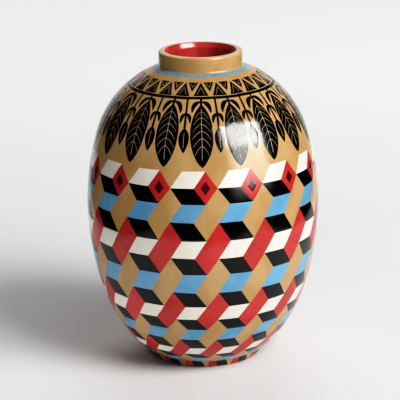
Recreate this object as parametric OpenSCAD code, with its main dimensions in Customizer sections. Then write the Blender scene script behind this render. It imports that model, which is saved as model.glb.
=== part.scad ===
// Tall ceramic vase: two thrown body sections, a collar and a foot ring luted together,
// lined with red glaze and coated outside with a painted glaze.
// The axis is Z, and the origin is the centre of the face that the vase stands on.

/* [Body] */
// Outside diameter at the belly, over the glaze
body_d = 300; // [276:1:330]
// Height of the widest point above the table
belly_z = 203; // [188:1:218]
// Radius of the wall's curve just below the belly
lower_belly_r = 360; // [300:5:420]
// Turn of the curve just below the belly, in degrees
lower_belly_turn = 19.5; // [16:0.5:22]
// Radius of the wall's curve just above the belly
upper_belly_r = 333; // [280:1:400]
// Turn of the curve just above the belly, in degrees
upper_belly_turn = 16.5; // [12:0.5:20]
// Height at which the shoulder meets the collar
shoulder_z = 384.5; // [370:0.5:410]
// Thickness of the clay wall
wall_t = 8; // [6:0.5:10]
// Thickness of the clay floor
floor_t = 12; // [8:0.5:16]

/* [Collar] */
// Clear diameter of the mouth below its flare, inside the lining
mouth_d = 85; // [76:0.5:94]
// Width by which the mouth flares open at the lip
flare_w = 3.25; // [2:0.25:4.5]
// Height of the flare
flare_h = 5.75; // [4.5:0.25:8]
// Width of the rim, from the flare to the collar's outside
rim_w = 8; // [7:0.25:11]
// Height of the rim above the shoulder
collar_h = 19.5; // [12:0.5:30]
// Rounding of the lip's outer edge
lip_round = 2.5; // [1.5:0.25:3]
// Depth to which the collar is let into the shoulder
collar_seat = 3; // [2.5:0.25:4]

/* [Foot] */
// Outside diameter of the foot at the table, over the glaze
foot_d = 146; // [130:1:158]
// Height of the foot ring, up to the crease under the body
foot_h = 10.5; // [8:0.5:13]
// Width by which each side of the foot spreads from the table up to the crease
foot_spread = 6.5; // [4:0.25:8]
// Width of the foot ring
foot_w = 17; // [12:0.5:24]
// Bevel on the foot ring's inner edge
foot_bevel = 2; // [0.5:0.25:3]
// Height of the bare clay left below the outer glaze
bare_h = 1; // [0.5:0.25:2]
// Reach of the tighter curve by which the wall turns in to the foot, along its tangent at the crease
ankle_reach = 13; // [10:0.5:18]
// Turn of that curve beyond what one plain arc to the foot would have, in degrees
ankle_turn = 6; // [4:0.5:9]

/* [Joints] */
// Height of the belly joint above the widest point
belly_joint_rise = 4; // [0:0.5:30]
// Width of the V groove in each joint
groove_w = 4; // [2:0.5:5]
// Depth of the V groove in each joint
groove_depth = 2; // [1:0.25:2.5]
// Thickness of the slip in each joint
slip_t = 1; // [0.5:0.25:1.5]

/* [Coats] */
// Thickness of each glaze coat
coat_t = 0.8; // [0.5:0.1:1.2]
// Clearance between the clay and what fits over or into it
seat_gap = 0.1; // [0.05:0.05:0.2]

/* [Hidden] */

$fn = 180;

// Depth of the clay's surface below the finished surface that its coat makes
clay_inset = coat_t + seat_gap;
// Depth of the clay's inner surface below the outer finished surface
clay_inner = clay_inset + wall_t;
// Depth of the lining's two surfaces below the outer finished surface
lining_outer = clay_inner + seat_gap;
lining_inner = lining_outer + coat_t;

mouth_r = mouth_d / 2;
collar_r = mouth_r + flare_w + rim_w;
rim_z = shoulder_z + collar_h;
foot_inner_r = foot_d / 2 - foot_w;
floor_z = foot_h + slip_t + floor_t;
belly_joint_z = belly_z + belly_joint_rise;
collar_seat_z = shoulder_z - collar_seat;
// Lean of the flare from the upright, and the mitre by which the two coats meet on the lip
flare_turn = atan(flare_w / flare_h);
lip_mitre = (1 - sin(flare_turn)) / cos(flare_turn);
// Reach of the cutting shapes past the vase, and past the two coats at the lip
past = 2 * body_d;
lip_reach = 2 * coat_t;
// Turn by which an arc runs on under its neighbour, and its height over it where they cross
overrun = 2;
hair = 0.005;
// Depth of the straight-sided core below the arcs
core_t = 2;
// Share of an arc's radius by which its band runs past its chord and its curve
band_margin = 0.05;

function unit(angle) = [cos(angle), sin(angle)];

// Radius of an arc that leaves point t, where its outward normal is n, and passes through point p
function tangent_radius(t, n, p) = -((p - t) * (p - t)) / (2 * ((p - t) * n));

// The outer wall is five arcs, each tangent to the next, in the half plane of radius and height
lower_normal = unit(-lower_belly_turn);
upper_normal = unit(upper_belly_turn);
lower_c = [body_d / 2 - lower_belly_r, belly_z];
upper_c = [body_d / 2 - upper_belly_r, belly_z];
lower_end = lower_c + lower_belly_r * lower_normal;
upper_end = upper_c + upper_belly_r * upper_normal;
crease = [foot_d / 2 + foot_spread, foot_h];
crease_chord = lower_end - crease;
crease_angle = lower_belly_turn - 2 * atan2(crease_chord[0], crease_chord[1]) - ankle_turn;
// The tangents of the two lowest arcs cross at two corners, and the arcs meet on the line between these
ankle_corner = crease + ankle_reach * unit(crease_angle + 90);
corner_way = ankle_corner - lower_end;
lower_down = unit(-lower_belly_turn - 90);
wall_reach = (corner_way * corner_way - pow(ankle_reach, 2)) / (2 * (corner_way * lower_down + ankle_reach));
corner_link = lower_end + wall_reach * lower_down - ankle_corner;
ankle_end = atan2(corner_link[1], corner_link[0]) - 90;
ankle_arc_r = ankle_reach / tan((ankle_end - crease_angle) / 2);
ankle_c = crease - ankle_arc_r * unit(crease_angle);
wall_arc_r = wall_reach / tan((-lower_belly_turn - ankle_end) / 2);
wall_c = lower_end - wall_arc_r * lower_normal;
shoulder_arc_r = tangent_radius(upper_end, upper_normal, [collar_r, shoulder_z]);
shoulder_c = upper_end - shoulder_arc_r * upper_normal;

// Angle at which the shoulder's arc, run on under the collar, is well inside the mouth
function mouth_turn(inset) = acos((mouth_r / 2 - shoulder_c[0]) / (shoulder_arc_r - inset));

// The five arcs at a depth below the outer surface: centre, radius, first angle and last angle
function wall_arcs(inset) = [
    [ankle_c, ankle_arc_r + 2 * hair - inset, -90, ankle_end + overrun],
    [wall_c, wall_arc_r + hair - inset, ankle_end, overrun - lower_belly_turn],
    [lower_c, lower_belly_r - inset, -lower_belly_turn, 0],
    [upper_c, upper_belly_r - inset, 0, upper_belly_turn],
    [shoulder_c, shoulder_arc_r + hair - inset, upper_belly_turn - overrun, mouth_turn(inset)]
];
function first_point(arc) = arc[0] + arc[1] * unit(arc[2]);
function last_point(arc) = arc[0] + arc[1] * unit(arc[3]);
function arc_r(arc, z) = arc[0][0] + sqrt(pow(arc[1], 2) - pow(z - arc[0][1], 2));

// Inner corner of the lip and foot of the flare, at a depth behind the finished surfaces
function lip_corner(inset) = [mouth_r + flare_w + inset * lip_mitre, rim_z - inset];
function flare_foot(inset) = [mouth_r + inset, rim_z - flare_h - inset * tan(flare_turn / 2)];

// Mean radius of the clay at each joint
foot_joint_r = (foot_inner_r + crease[0] - clay_inset) / 2;
belly_joint_r = arc_r(wall_arcs(clay_inset + wall_t / 2)[3], belly_joint_z);
collar_joint_r = (mouth_r + collar_r) / 2;

// Band of an arc between its two end angles, down to just under its chord
module arc_band(arc) {
    under_chord = (1 - band_margin) * arc[1];
    over_arc = (1 + band_margin) * arc[1] / cos((arc[3] - arc[2]) / 2);
    translate(arc[0])
        intersection() {
            circle(r = arc[1]);
            polygon([under_chord * unit(arc[2]), over_arc * unit(arc[2]),
                     over_arc * unit(arc[3]), under_chord * unit(arc[3])]);
        }
}

// Half section of the whole body, filled to the axis, at a depth below its outer surface
module body_section(inset) {
    core = wall_arcs(inset + core_t);
    bottom = first_point(core[0]);
    top = last_point(core[4]);
    intersection() {
        union() {
            polygon([[0, bottom[1]], bottom, first_point(core[1]), first_point(core[2]),
                     first_point(core[3]), last_point(core[3]), top, [0, top[1]]]);
            for (arc = wall_arcs(inset))
                arc_band(arc);
        }
        square(past);
    }
}

// Half section of the collar, filled to the axis, at a depth below its finished surfaces
module collar_section(inset) {
    outer = collar_r - inset;
    corner = lip_round - inset;
    top = rim_z - inset;
    low = collar_seat_z - groove_depth;
    translate([0, low])
        square([outer, top - corner - low]);
    translate([0, low])
        square([outer - corner, top - low]);
    translate([outer - corner, top - corner])
        circle(r = corner);
}

// Half section of the foot, run on into the body and filled to the axis, at a depth below its outer surface
module foot_section(inset) {
    lean = atan(foot_spread / foot_h);
    edge = foot_d / 2 - inset / cos(lean);
    top = foot_h + wall_t;
    polygon([[0, 0], [edge, 0], [edge + top * tan(lean), top], [0, top]]);
}

// Half section of foot, body and collar together, filled to the axis
module outside_section(inset) {
    foot_section(inset);
    body_section(inset);
    collar_section(inset);
}

// Half section of the way through the collar, out to a depth behind its finished surface
module mouth_section(inset) {
    foot = flare_foot(inset);
    top = lip_corner(inset) + (inset + lip_reach) * [tan(flare_turn), 1];
    polygon([[0, belly_joint_z], [foot[0], belly_joint_z], foot, top, [0, top[1]]]);
}

// Half section of the hollow, at depths in the body's wall and in the collar, with its floor at a height
module hollow_section(inset, floor_at, mouth_inset) {
    difference() {
        body_section(inset);
        square([past, floor_at]);
    }
    mouth_section(mouth_inset);
}

// What lies inside the mitre of the two coats on the lip
module mouth_side() {
    polygon([[0, 0], [lip_corner(lip_reach)[0], 0], lip_corner(lip_reach), lip_corner(-lip_reach),
             [0, rim_z + lip_reach]]);
}

// What lies outside the mitre of the two coats on the lip
module rim_side() {
    polygon([lip_corner(lip_reach), [past, rim_z - lip_reach], [past, rim_z + mouth_r],
             lip_corner(-mouth_r)]);
}

// Everything below a joint whose V groove lies at a radius
module below_joint(z, groove_r) {
    polygon([[0, -past], [past, -past], [past, z], [groove_r + groove_w / 2, z],
             [groove_r, z - groove_depth], [groove_r - groove_w / 2, z], [0, z]]);
}

// Half section of all the clay, with the foot's recess left open
module clay_section() {
    difference() {
        outside_section(clay_inset);
        hollow_section(clay_inner, floor_z, clay_inset);
        translate([0, -past])
            square([foot_inner_r, past + foot_h + slip_t]);
    }
}

// Space inside the shoulder that takes the collar, above a joint at a height
module collar_space(z, radius) {
    difference() {
        translate([0, z - groove_depth])
            square([radius, past]);
        below_joint(z, collar_joint_r);
    }
}

// Turns a half section round the vase's axis
module thrown() {
    rotate_extrude()
        children();
}

module foot_ring() {
    color("tan")
        thrown()
            difference() {
                intersection() {
                    clay_section();
                    below_joint(foot_h, foot_joint_r);
                }
                translate([foot_inner_r, 0])
                    rotate(45)
                        square(sqrt(2) * foot_bevel, center = true);
            }
}

module foot_lute() {
    color("sienna")
        thrown()
            intersection() {
                clay_section();
                difference() {
                    below_joint(foot_h + slip_t, foot_joint_r);
                    below_joint(foot_h, foot_joint_r);
                }
            }
}

module lower_body() {
    color("tan")
        thrown()
            difference() {
                intersection() {
                    clay_section();
                    below_joint(belly_joint_z, belly_joint_r);
                }
                below_joint(foot_h + slip_t, foot_joint_r);
            }
}

module belly_lute() {
    color("sienna")
        thrown()
            intersection() {
                clay_section();
                difference() {
                    below_joint(belly_joint_z + slip_t, belly_joint_r);
                    below_joint(belly_joint_z, belly_joint_r);
                }
            }
}

module upper_body() {
    color("tan")
        thrown()
            difference() {
                clay_section();
                below_joint(belly_joint_z + slip_t, belly_joint_r);
                collar_space(collar_seat_z, collar_r - coat_t);
            }
}

module collar_lute() {
    color("sienna")
        thrown()
            intersection() {
                clay_section();
                difference() {
                    collar_space(collar_seat_z, collar_r - clay_inset);
                    collar_space(collar_seat_z + slip_t, past);
                }
            }
}

module neck_collar() {
    color("tan")
        thrown()
            intersection() {
                clay_section();
                collar_space(collar_seat_z + slip_t, collar_r - clay_inset);
            }
}

module red_lining() {
    color("firebrick")
        thrown()
            difference() {
                hollow_section(lining_outer, floor_z + seat_gap, coat_t);
                hollow_section(lining_inner, floor_z + clay_inset, 0);
                rim_side();
            }
}

module outer_glaze() {
    color("goldenrod")
        thrown()
            difference() {
                outside_section(0);
                outside_section(coat_t);
                square([past, bare_h]);
                mouth_side();
            }
}

foot_ring();
foot_lute();
lower_body();
belly_lute();
upper_body();
collar_lute();
neck_collar();
red_lining();
outer_glaze();
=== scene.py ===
"""Looks of a tall painted vase: ochre ground, a lattice of tumbling blocks, a leaf frieze and a red lining.

Lengths are in metres. Angles round the wall start at the front, which faces -Y, and grow towards +X. A
place on the wall is an angle and a climb, which is the wall's length above the table divided by its radius
along the way. Angle and climb are to the same scale everywhere, so that a motif keeps its shape where the
wall narrows.
"""

import logging
import math
import random
from dataclasses import dataclass, field
from enum import Enum

import bpy
import numpy as np
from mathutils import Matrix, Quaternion, Vector, noise


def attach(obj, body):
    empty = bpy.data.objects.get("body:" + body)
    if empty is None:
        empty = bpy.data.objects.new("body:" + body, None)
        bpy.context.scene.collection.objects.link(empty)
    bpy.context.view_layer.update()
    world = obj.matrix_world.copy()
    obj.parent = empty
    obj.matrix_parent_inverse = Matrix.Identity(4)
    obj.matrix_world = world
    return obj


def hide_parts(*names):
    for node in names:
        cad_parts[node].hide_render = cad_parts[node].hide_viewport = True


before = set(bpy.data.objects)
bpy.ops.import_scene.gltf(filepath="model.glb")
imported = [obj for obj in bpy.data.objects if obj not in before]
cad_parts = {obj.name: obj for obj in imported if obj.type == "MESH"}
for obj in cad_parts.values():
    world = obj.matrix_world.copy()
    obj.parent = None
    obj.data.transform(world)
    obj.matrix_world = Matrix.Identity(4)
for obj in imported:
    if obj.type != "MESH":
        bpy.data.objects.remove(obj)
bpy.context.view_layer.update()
ROOT = "root"
MM = 0.001
SEED = 1931
FULL_TURN = 2 * math.pi
# Distance that counts as none
TINY = 1e-6
# Least turn between two faces that shows as an edge
SHARP_TURN = math.radians(38)
# Range of a share, and two ranges that most of a noise's values lie in
WHOLE = (0.0, 1.0)
MOST = (0.3, 0.7)
MIDDLE = (0.35, 0.65)
# Levels of finer marks in a noise
COARSE, PLAIN, FINE = 2.0, 3.0, 4.0
# Blender's numbers for the colour sockets of a mix, and for the tone curve of all colours together
MIX_INPUTS, MIX_OUTPUT = (0, 6, 7), 2
COMBINED_CURVE = 3

Pair = tuple[float, float]
Triple = tuple[float, float, float]
Colour = Triple
# Start, bend and end of a curve
Way = tuple[Pair, Pair, Pair]
Socket = bpy.types.NodeSocket
log = logging.getLogger("vase")


def linear(level: int) -> float:
    """Turns a level from 0 to 255 into linear light, by the standard curve of screens."""
    share = level / 255
    return share / 12.92 if share <= 0.04045 else ((share + 0.055) / 1.055) ** 2.4


def paint(red: int, green: int, blue: int) -> Colour:
    """Turns a colour as a screen shows it, 0 to 255, into linear light."""
    return linear(red), linear(green), linear(blue)


class Slot(Enum):
    """Names of material slots."""

    RED = "red_glaze"
    PAINTED = "painted_glaze"


class NodeKit:
    """Short calls that add and join the nodes of one tree."""

    def __init__(self, tree: bpy.types.NodeTree) -> None:
        """Keeps the tree that the calls work on."""
        self.tree = tree

    def feed(self, socket: Socket, value: object) -> None:
        """Joins a socket to another one, or sets its value.

        Args:
            socket: Input to fill.
            value: Output socket, number, or colour of three parts.
        """
        if isinstance(value, Socket):
            self.tree.links.new(value, socket)
        elif socket.type == "RGBA":
            socket.default_value = (*value, 1.0)
        else:
            socket.default_value = value

    def node(
        self, kind: str, inputs: dict[str | int, object] | None = None, **settings: object
    ) -> bpy.types.Node:
        """Adds a node.

        Args:
            kind: Blender's name for the node.
            inputs: Values or sockets for its inputs.
            settings: Values for its own properties.

        Returns:
            The new node.
        """
        made = self.tree.nodes.new(kind)
        for name, value in settings.items():
            setattr(made, name, value)
        for name, value in (inputs or {}).items():
            self.feed(made.inputs[name], value)
        return made

    def axis(self, vector: Socket, name: str) -> Socket:
        """Gives one part of a vector: X, Y or Z."""
        return self.node("ShaderNodeSeparateXYZ", {"Vector": vector}).outputs[name]

    def span(self, value: Socket, source: Pair, target: Pair) -> Socket:
        """Maps one range of a value smoothly to another and holds it there.

        Args:
            value: Socket to map.
            source: First and last value of the range it comes from.
            target: First and last value of the range it goes to.

        Returns:
            The mapped socket.
        """
        ends = dict(zip(("From Min", "From Max", "To Min", "To Max"), (*source, *target)))
        made = self.node("ShaderNodeMapRange", {"Value": value, **ends}, interpolation_type="SMOOTHSTEP")
        return made.outputs["Result"]

    def maths(self, operation: str, first: object, second: object) -> Socket:
        """Joins two numbers by a sum of Blender's maths node."""
        return self.node("ShaderNodeMath", {0: first, 1: second}, operation=operation).outputs["Value"]


class Shader(NodeKit):
    """A new node material with one principled shader."""

    def __init__(self, name: str) -> None:
        """Starts the material.

        Args:
            name: Name of the material.
        """
        self.material = bpy.data.materials.new(name)
        self.material.use_nodes = True
        super().__init__(self.material.node_tree)
        self.tree.nodes.clear()
        self.surface = self.node("ShaderNodeBsdfPrincipled")
        self.node("ShaderNodeOutputMaterial", {"Surface": self.surface.outputs["BSDF"]})
        self.place = self.node("ShaderNodeTexCoord").outputs["Object"]

    def wear(self, values: dict[str, object]) -> None:
        """Fills inputs of the principled shader by name."""
        for name, value in values.items():
            self.feed(self.surface.inputs[name], value)

    def marks(self, scale: float, stretch: Triple = (1, 1, 1), detail: float = FINE) -> Socket:
        """Gives noise over the piece, from 0 to 1.

        Args:
            scale: Marks in a metre.
            stretch: How much denser the marks are along X, Y and Z.
            detail: Levels of finer marks.

        Returns:
            The noise's socket.
        """
        place = self.node("ShaderNodeMapping", {"Vector": self.place, "Scale": stretch}).outputs["Vector"]
        made = self.node("ShaderNodeTexNoise", {"Vector": place, "Scale": scale, "Detail": detail})
        return made.outputs["Fac"]

    def blend(self, share: Socket, first: object, second: object) -> Socket:
        """Mixes two colours.

        Args:
            share: How much of the second colour shows.
            first: Colour or socket that lies below.
            second: Colour or socket that lies above.

        Returns:
            The mixed colour's socket.
        """
        inputs = dict(zip(MIX_INPUTS, (share, first, second)))
        return self.node("ShaderNodeMix", inputs, data_type="RGBA").outputs[MIX_OUTPUT]

    def bump(self, height: Socket, strength: float, depth: float) -> None:
        """Roughens the surface by a height.

        Args:
            height: Socket from 0 to 1.
            strength: Share of the effect.
            depth: Height of 1, in metres.
        """
        made = self.node("ShaderNodeBump", {"Height": height, "Strength": strength, "Distance": depth})
        self.wear({"Normal": made.outputs["Normal"]})


@dataclass(frozen=True)
class BrushedPaint:
    """One colour laid on by brush and glazed over: strokes, cloudy patches and a tone for each motif."""

    name: str
    thin: Colour
    thick: Colour
    rough: Pair = (0.06, 0.105)
    tone_swing: float = 0.12
    stroke_stretch: Triple = (1.0, 1.0, 5.0)
    strokes_per_m: float = 260.0
    stroke_share: float = 0.45
    stroke_bump: float = 0.5
    stroke_depth: float = 0.06 * MM
    clouds_per_m: float = 42.0
    load_span: Pair = (0.34, 0.66)

    def material(self) -> bpy.types.Material:
        """Builds the paint's material.

        Returns:
            The new material.
        """
        shader = Shader(self.name)
        strokes = shader.marks(self.strokes_per_m, self.stroke_stretch)
        clouds = shader.marks(self.clouds_per_m, detail=PLAIN)
        brushed = shader.maths("MULTIPLY", strokes, self.stroke_share)
        load = shader.maths("ADD", brushed, shader.maths("MULTIPLY", clouds, 1 - self.stroke_share))
        colour = shader.blend(shader.span(load, self.load_span, WHOLE), self.thin, self.thick)
        tone = shader.node("ShaderNodeAttribute", attribute_name="tone").outputs["Fac"]
        level = shader.span(tone, WHOLE, (1.0 - self.tone_swing, 1.0 + self.tone_swing))
        toned = shader.node("ShaderNodeHueSaturation", {"Color": colour, "Value": level}).outputs["Color"]
        shader.wear({"Base Color": toned, "Roughness": shader.span(strokes, MOST, self.rough)})
        shader.bump(strokes, self.stroke_bump, self.stroke_depth)
        return shader.material


@dataclass(frozen=True)
class GroundGlaze:
    """Ochre ground outside: cloudy on the body, streaked by the wheel on the collar, paler over the lip."""

    collar_z: float
    rim_z: float
    name: str = "ochre_ground"
    body: Colour = paint(188, 151, 100)
    cloud: Colour = paint(198, 163, 115)
    streak: Colour = paint(166, 122, 72)
    lip_pale: Colour = paint(224, 194, 160)
    rough: Pair = (0.06, 0.105)
    clouds_per_m: float = 34.0
    cloud_stretch: Triple = (1.0, 1.0, 0.7)
    streaks_per_m: float = 60.0
    streak_stretch: Triple = (1.0, 1.0, 16.0)
    streak_span: Pair = (0.42, 0.66)
    streak_bump: float = 0.25
    streak_depth: float = 0.06 * MM
    # Share of the streaks' colour on the body and on the collar
    streak_shares: Pair = (0.045, 0.126)
    collar_fade: float = 2.0 * MM
    # A paler colour starts this far below the rim and reaches its full share over the fade
    lip_depth: float = 1.5 * MM
    lip_fade: float = 1.2 * MM
    lip_pale_share: float = 0.45
    lip_pale_span: Pair = (0.3, 0.6)
    lip_pale_levels: Pair = (0.55, 1.0)

    def material(self) -> bpy.types.Material:
        """Builds the ground's material.

        Returns:
            The new material.
        """
        shader = Shader(self.name)
        clouds = shader.marks(self.clouds_per_m, self.cloud_stretch)
        streaks = shader.marks(self.streaks_per_m, self.streak_stretch, PLAIN)
        height = shader.axis(shader.place, "Z")
        lip_z = self.rim_z - self.lip_depth
        on_collar = shader.span(height, (self.collar_z, self.collar_z + self.collar_fade), self.streak_shares)
        on_lip = shader.span(height, (lip_z, lip_z + self.lip_fade), (0.0, self.lip_pale_share))
        ground = shader.blend(shader.span(clouds, MIDDLE, WHOLE), self.body, self.cloud)
        streaky = shader.maths("MULTIPLY", on_collar, shader.span(streaks, self.streak_span, WHOLE))
        streaked = shader.blend(streaky, ground, self.streak)
        # Paler colour over the top of the lip, in mottled patches
        paled = shader.maths("MULTIPLY", on_lip, shader.span(clouds, self.lip_pale_span, self.lip_pale_levels))
        colour = shader.blend(paled, streaked, self.lip_pale)
        shader.wear({"Base Color": colour, "Roughness": shader.span(streaks, MOST, self.rough)})
        shader.bump(streaks, self.streak_bump, self.streak_depth)
        return shader.material


@dataclass(frozen=True)
class LiningGlaze:
    """Glossy red glaze of the inside, a little darker where it ran thick."""

    name: str = "red_lining_glaze"
    thin: Colour = paint(208, 82, 74)
    thick: Colour = paint(186, 62, 58)
    rough: Pair = (0.11, 0.17)
    runs_per_m: float = 45.0
    run_stretch: Triple = (1.0, 1.0, 0.35)
    rings_per_m: float = 30.0
    ring_stretch: Triple = (1.0, 1.0, 9.0)
    ring_bump: float = 0.3
    ring_depth: float = 0.08 * MM

    def material(self) -> bpy.types.Material:
        """Builds the lining's material.

        Returns:
            The new material.
        """
        shader = Shader(self.name)
        runs = shader.marks(self.runs_per_m, self.run_stretch, PLAIN)
        rings = shader.marks(self.rings_per_m, self.ring_stretch, PLAIN)
        colour = shader.blend(shader.span(runs, MIDDLE, WHOLE), self.thin, self.thick)
        shader.wear({"Base Color": colour, "Roughness": shader.span(rings, MOST, self.rough)})
        shader.bump(rings, self.ring_bump, self.ring_depth)
        return shader.material


@dataclass(frozen=True)
class FiredClay:
    """Bare fired clay with grog specks and fine turning lines."""

    name: str
    clay: Colour
    speck: Colour
    grog_per_m: float = 900.0
    grog_span: Pair = (0.62, 0.7)
    grog_share: float = 0.7
    grog_height: float = 0.4
    lines_per_m: float = 120.0
    line_stretch: Triple = (1.0, 1.0, 7.0)
    grain_bump: float = 0.5
    grain_depth: float = 0.2 * MM
    clouds_per_m: float = 30.0
    cloud_share: float = 0.35
    rough: Pair = (0.72, 0.9)

    def material(self) -> bpy.types.Material:
        """Builds the clay's material.

        Returns:
            The new material.
        """
        shader = Shader(self.name)
        grog = shader.marks(self.grog_per_m, detail=COARSE)
        lines = shader.marks(self.lines_per_m, self.line_stretch, PLAIN)
        clouds = shader.marks(self.clouds_per_m)
        base = shader.blend(shader.span(clouds, MOST, (0.0, self.cloud_share)), self.clay, self.speck)
        specked = shader.blend(shader.span(grog, self.grog_span, (0.0, self.grog_share)), base, self.speck)
        shader.wear({"Base Color": specked, "Roughness": shader.span(grog, MOST, self.rough)})
        grain = shader.maths("ADD", lines, shader.maths("MULTIPLY", grog, self.grog_height))
        shader.bump(grain, self.grain_bump, self.grain_depth)
        return shader.material


def unit(turn: float) -> np.ndarray:
    """Gives the direction at an angle, in the half plane of radius and height."""
    return np.array([math.cos(turn), math.sin(turn)])


def on_circle(centre: np.ndarray | Pair, radius: float, turn: np.ndarray) -> np.ndarray:
    """Gives points on a circle at angles, as rows of radius and height."""
    return np.stack([centre[0] + radius * np.cos(turn), centre[1] + radius * np.sin(turn)], 1)


def quarter(centre: Pair, radius: float, first_deg: float, last_deg: float, count: int = 7) -> np.ndarray:
    """Gives points of a small arc between two angles, as rows of radius and height."""
    return on_circle(centre, radius, np.radians(np.linspace(first_deg, last_deg, count)))


@dataclass(frozen=True)
class Arc:
    """An arc of the wall's outline, in the half plane of radius and height."""

    centre: np.ndarray
    radius: float
    first: float
    last: float

    def points(self, inset: float, count: int, before: float = 0.0, after: float = 0.0) -> np.ndarray:
        """Gives points along the arc.

        Args:
            inset: Depth below the arc.
            count: How many points.
            before: Angle by which it starts early.
            after: Angle by which it ends late.

        Returns:
            Rows of radius and height.
        """
        turn = np.linspace(self.first - before, self.last + after, count)
        return on_circle(self.centre, self.radius - inset, turn)

    def onward(self, turn: float, end: np.ndarray) -> tuple[float, np.ndarray]:
        """Gives an arc that leaves this one, tangent to it, and goes to an end point.

        Args:
            turn: Angle on this arc at which it leaves.
            end: Radius and height of the end point.

        Returns:
            The radius, and the centre's radius and height.
        """
        normal = unit(turn)
        start = self.centre + self.radius * normal
        chord = end - start
        radius = -float(chord @ chord) / (2 * float(chord @ normal))
        return radius, start - radius * normal


@dataclass
class VaseWall:
    """Outside of the vase: a spreading foot, then five arcs to the collar, each tangent to the next."""

    body_d: float = 300.0 * MM
    belly_z: float = 203.0 * MM
    lower_belly_r: float = 360.0 * MM
    lower_belly_turn: float = math.radians(19.5)
    upper_belly_r: float = 333.0 * MM
    upper_belly_turn: float = math.radians(16.5)
    shoulder_z: float = 384.5 * MM
    foot_d: float = 146.0 * MM
    foot_h: float = 10.5 * MM
    foot_spread: float = 6.5 * MM
    ankle_r: float = 90.0 * MM
    ankle_turn: float = math.radians(6)
    mouth_d: float = 85.0 * MM
    flare_w: float = 3.25 * MM
    flare_h: float = 5.75 * MM
    rim_w: float = 8.0 * MM
    collar_h: float = 19.5 * MM
    lip_round: float = 2.5 * MM
    # Turns by which the first and the last arc run on, for outlines at a depth
    run_down: float = math.radians(4)
    run_up: float = math.radians(22)
    arc_points: int = 400
    foot_points: int = 24
    arcs: list[Arc] = field(init=False)

    def __post_init__(self) -> None:
        """Works out the arcs and the climb along them."""
        self.mouth_r = self.mouth_d / 2
        self.lip_r = self.mouth_r + self.flare_w
        self.collar_r = self.lip_r + self.rim_w
        self.rim_z = self.shoulder_z + self.collar_h
        self.foot_lean = math.atan(self.foot_spread / self.foot_h)
        self.flare_lean = math.atan2(self.flare_w, self.flare_h)
        lower_c, upper_c = (
            np.array([self.body_d / 2 - radius, self.belly_z])
            for radius in (self.lower_belly_r, self.upper_belly_r)
        )
        lower = Arc(lower_c, self.lower_belly_r, -self.lower_belly_turn, 0.0)
        upper = Arc(upper_c, self.upper_belly_r, 0.0, self.upper_belly_turn)
        top_r, top_c = upper.onward(upper.last, np.array([self.collar_r, self.shoulder_z]))
        top = Arc(top_c, top_r, upper.last, math.acos((self.collar_r - top_c[0]) / top_r))
        self.arcs = [*self._lowest_arcs(lower), lower, upper, top]
        line = self.outline(0.0, 0.0, self.collar_r)
        step = np.diff(line, axis=0)
        middle = (line[1:, 0] + line[:-1, 0]) / 2
        climb = np.concatenate([[0.0], np.cumsum(np.hypot(*step.T) / middle)])
        slope = np.gradient(line, climb, axis=0)
        normal = np.stack([slope[:, 1], -slope[:, 0]], 1)
        normal /= np.linalg.norm(normal, axis=1, keepdims=True)
        self._climb, self._line, self._normal = climb, line, normal

    def _lowest_arcs(self, lower: Arc) -> tuple[Arc, Arc]:
        """Gives the two arcs between the foot and the belly's lower arc.

        Args:
            lower: The belly's lower arc.

        Returns:
            The arc that turns in to the foot, and the one above it.
        """
        start = lower.points(0.0, 2)[0]
        crease = np.array([self.foot_d / 2 + self.foot_spread, self.foot_h])
        chord = start - crease
        turn = 2 * math.atan2(chord[0], chord[1]) + lower.first + self.ankle_turn
        ankle_c = crease - self.ankle_r * unit(-turn)
        inner = Arc(lower.centre, lower.radius - self.ankle_r, lower.first, lower.last)
        reach, wall_c = inner.onward(lower.first, ankle_c)
        meeting = math.atan2(ankle_c[1] - wall_c[1], ankle_c[0] - wall_c[0])
        ankle = Arc(ankle_c, self.ankle_r, -turn, meeting)
        return ankle, Arc(wall_c, reach + self.ankle_r, meeting, lower.first)

    def outline(self, inset: float, low_z: float, high_r: float) -> np.ndarray:
        """Gives the wall's line at a depth, upwards from a height to a radius near the mouth.

        Args:
            inset: Depth below the outside.
            low_z: Height at which the line starts.
            high_r: Radius at which the line ends.

        Returns:
            Rows of radius and height.
        """
        parts = []
        for place, arc in enumerate(self.arcs):
            before = self.run_down if place == 0 else 0.0
            after = self.run_up if place == len(self.arcs) - 1 else 0.0
            points = arc.points(inset, self.arc_points, before, after)
            parts.append(points if place == 0 else points[1:])
        line = np.concatenate(parts)
        widest = int(np.argmax(line[:, 0]))
        below, above = line[:widest], line[widest:]
        end_z = np.interp(high_r, above[::-1, 0], above[::-1, 1])
        above = above[above[:, 0] > high_r + TINY]
        foot_r = self.foot_d / 2 - inset / math.cos(self.foot_lean)
        spread = math.tan(self.foot_lean)
        ankle = below[: self.arc_points]
        jut = ankle[:, 0] - foot_r - ankle[:, 1] * spread
        crease_z = float(np.interp(0.0, jut, ankle[:, 1]))
        if low_z < crease_z:
            heights = np.linspace(low_z, crease_z, self.foot_points)
            start = np.stack([foot_r + heights * spread, heights], 1)
        else:
            start = np.array([[np.interp(low_z, below[:, 1], below[:, 0]), low_z]])
        below = below[below[:, 1] > max(low_z, crease_z) + TINY]
        return np.concatenate([start, below, above, [[high_r, end_z]]])

    def climb_at(self, height: float | np.ndarray) -> np.ndarray:
        """Gives the climb at a height above the table."""
        return np.interp(height, self._line[:, 1], self._climb)

    def climb_at_radius(self, radius: float) -> float:
        """Gives the climb at a radius on the shoulder."""
        shoulder = slice(-self.arc_points, None)
        return float(np.interp(-radius, -self._line[shoulder, 0], self._climb[shoulder]))

    def radius_at(self, climb: np.ndarray) -> np.ndarray:
        """Gives the wall's radius at a climb."""
        return np.interp(climb, self._climb, self._line[:, 0])

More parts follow.
